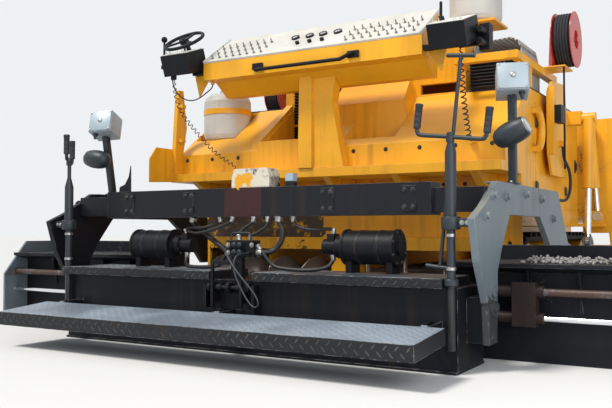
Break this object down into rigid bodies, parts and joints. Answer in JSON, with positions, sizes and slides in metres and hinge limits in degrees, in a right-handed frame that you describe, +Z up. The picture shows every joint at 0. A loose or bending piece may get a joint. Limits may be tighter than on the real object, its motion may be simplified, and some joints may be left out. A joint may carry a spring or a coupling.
{
  "type": "asphalt paver",
  "caption": "Tracked asphalt paver: front hopper with folding wings, slat conveyors, augers, engine housing, rear console and a floating screed with sliding extensions and a step.",
  "frame": {"origin": "middle of the footprint, on the ground", "axes": "+Y towards the hopper, +X to the machine's right side, +Z up"},
  "size_m": [5.54, 6.8, 2.9],
  "materials": {
    "yellow_paint": "gloss paint, dusty",
    "track_rubber": "worn rubber pads",
    "slat_steel": "worn steel",
    "bare_steel": "worn steel",
    "engine_iron": "cast and painted",
    "deck_steel": "tread plate, worn",
    "panel_white": "satin paint",
    "black_fittings": "satin black",
    "louvre_black": "dusty black",
    "switch_metal": "rubber boots and metal toggles",
    "cord_black": "satin rubber sleeve",
    "white_plastic": "moulded plastic",
    "guard_grey": "dusty",
    "reel_red": "gloss paint",
    "rod_chrome": "polished",
    "screed_black": "asphalt stained",
    "bracket_grey": "blue grey paint, worn"
  },
  "bodies": {
    "tractor": {"chassis": "yellow_paint", "running_gear": "yellow_paint", "track_left": "track_rubber", "track_right": "track_rubber", "conveyors": "slat_steel", "auger_frame": "yellow_paint", "rear_body": "yellow_paint", "louvres": "louvre_black", "side_pods": "yellow_paint", "walkway": "deck_steel", "engine": "engine_iron", "hood": "yellow_paint", "console": "yellow_paint", "switch_panel": "panel_white", "console_fittings": "black_fittings", "switches": "switch_metal", "operator_stations": "black_fittings", "water_tanks": "white_plastic", "muffler_guard": "guard_grey", "reel_stands": "reel_red", "side_frames": "yellow_paint", "hopper_wall": "yellow_paint", "lift_barrels": "yellow_paint", "station_cable": "cord_black", "curly_left": "cord_black", "curly_right": "cord_black", "side_hose": "cord_black"},
    "screed": {"screed_frame": "screed_black", "screed_plate": "screed_black", "shelf": "deck_steel", "screed_drums": "black_fittings", "crown_adjuster": "black_fittings", "cross_beam": "screed_black", "arch_left": "screed_black", "arch_right": "bracket_grey", "depth_cranks": "black_fittings", "control_posts": "black_fittings", "extension_guides": "screed_black", "shelf_loop": "cord_black"},
    "step": {"step": "deck_steel"},
    "extension_left": {"extension_left": "screed_black", "end_gate_left": "bracket_grey"},
    "extension_right": {"extension_right": "screed_black", "end_gate_right": "bracket_grey"},
    "auger_left": {"auger_left": "bare_steel"},
    "auger_right": {"auger_right": "bare_steel"},
    "steering_wheel": {"steering_wheel": "black_fittings"},
    "hatch": {"hatch": "yellow_paint"},
    "reel_left": {"reel_left": "reel_red"},
    "reel_right": {"reel_right": "reel_red"},
    "wing_left": {"wing_left": "yellow_paint"},
    "wing_right": {"wing_right": "yellow_paint"},
    "wing_barrel_left": {"wing_barrel_left": "yellow_paint"},
    "wing_barrel_right": {"wing_barrel_right": "yellow_paint"},
    "wing_rod_left": {"wing_rod_left": "rod_chrome"},
    "wing_rod_right": {"wing_rod_right": "rod_chrome"},
    "lift_rod_left": {"lift_rod_left": "rod_chrome"},
    "lift_rod_right": {"lift_rod_right": "rod_chrome"},
    "push_beam": {"push_beam": "yellow_paint"},
    "push_rollers": {"push_rollers": "slat_steel"}
  },
  "joints": [
    {"name": "screed_lift", "type": "hinge", "parent": "tractor", "child": "screed", "pos_m": [0, 2.28, 0.55], "axis": [-1, 0, 0], "range_deg": [0, 5]},
    {"name": "step_fold", "type": "hinge", "parent": "screed", "child": "step", "pos_m": [0, -2.95, 0.262], "axis": [-1, 0, 0], "range_deg": [0, 85]},
    {"name": "extension_left_slide", "type": "slide", "parent": "screed", "child": "extension_left", "axis": [-1, 0, 0], "range_m": [-0.85, 0.3]},
    {"name": "extension_right_slide", "type": "slide", "parent": "screed", "child": "extension_right", "axis": [1, 0, 0], "range_m": [-0.85, 0.3]},
    {"name": "auger_left_spin", "type": "hinge", "parent": "tractor", "child": "auger_left", "pos_m": [0, -1.27, 0.4], "axis": [1, 0, 0], "continuous": true},
    {"name": "auger_right_spin", "type": "hinge", "parent": "tractor", "child": "auger_right", "pos_m": [0, -1.27, 0.4], "axis": [1, 0, 0], "continuous": true},
    {"name": "steering", "type": "hinge", "parent": "tractor", "child": "steering_wheel", "pos_m": [-1.13, -1.93, 2.362], "axis": [0, -0.5736, 0.8192], "range_deg": [-170, 170]},
    {"name": "hatch_lift", "type": "hinge", "parent": "tractor", "child": "hatch", "pos_m": [-0.65, -0.15, 2.396], "axis": [0, -1, 0], "range_deg": [-42, 48]},
    {"name": "reel_left_spin", "type": "hinge", "parent": "tractor", "child": "reel_left", "pos_m": [-1.24, -0.4, 2.12], "axis": [1, 0, 0], "continuous": true},
    {"name": "reel_right_spin", "type": "hinge", "parent": "tractor", "child": "reel_right", "pos_m": [1.5, -0.3, 2.367], "axis": [1, 0, 0], "continuous": true},
    {"name": "wing_left_fold", "type": "hinge", "parent": "tractor", "child": "wing_left", "pos_m": [-0.9, 1.9, 0.885], "axis": [0, 1, 0], "range_deg": [0, 40]},
    {"name": "wing_barrel_left_swing", "type": "hinge", "parent": "wing_left", "child": "wing_barrel_left", "pos_m": [-1.56, 0.8, 1.8], "axis": [0, 1, 0], "range_deg": [-12, 2]},
    {"name": "wing_rod_left_slide", "type": "slide", "parent": "wing_barrel_left", "child": "wing_rod_left", "axis": [-0.0684, 0, -0.9977], "range_m": [-0.005, 0.5]},
    {"name": "wing_right_fold", "type": "hinge", "parent": "tractor", "child": "wing_right", "pos_m": [0.9, 1.9, 0.885], "axis": [0, -1, 0], "range_deg": [0, 40]},
    {"name": "wing_barrel_right_swing", "type": "hinge", "parent": "wing_right", "child": "wing_barrel_right", "pos_m": [1.56, 0.8, 1.8], "axis": [0, -1, 0], "range_deg": [-12, 2]},
    {"name": "wing_rod_right_slide", "type": "slide", "parent": "wing_barrel_right", "child": "wing_rod_right", "axis": [0.0684, 0, -0.9977], "range_m": [-0.005, 0.5]},
    {"name": "lift_rod_left_slide", "type": "slide", "parent": "tractor", "child": "lift_rod_left", "axis": [0, 0.1084, 0.9941], "range_m": [0, 0.26]},
    {"name": "lift_rod_right_slide", "type": "slide", "parent": "tractor", "child": "lift_rod_right", "axis": [0, 0.1084, 0.9941], "range_m": [0, 0.26]},
    {"name": "push_beam_swing", "type": "hinge", "parent": "tractor", "child": "push_beam", "pos_m": [0, 3.155, 0.47], "axis": [0, 0, 1], "range_deg": [-4, 4]},
    {"name": "push_rollers_spin", "type": "hinge", "parent": "push_beam", "child": "push_rollers", "pos_m": [0, 3.315, 0.47], "axis": [1, 0, 0], "continuous": true}
  ],
  "couplings": [
    {"joint": "wing_barrel_left_swing", "follows": "wing_left_fold", "ratio": -0.166},
    {"joint": "wing_rod_left_slide", "follows": "wing_left_fold", "m_per_rad": 0.6883},
    {"joint": "wing_barrel_right_swing", "follows": "wing_right_fold", "ratio": -0.166},
    {"joint": "wing_rod_right_slide", "follows": "wing_right_fold", "m_per_rad": 0.6883},
    {"joint": "lift_rod_left_slide", "follows": "screed_lift", "m_per_rad": 2.085},
    {"joint": "lift_rod_right_slide", "follows": "screed_lift", "m_per_rad": 2.085}
  ]
}
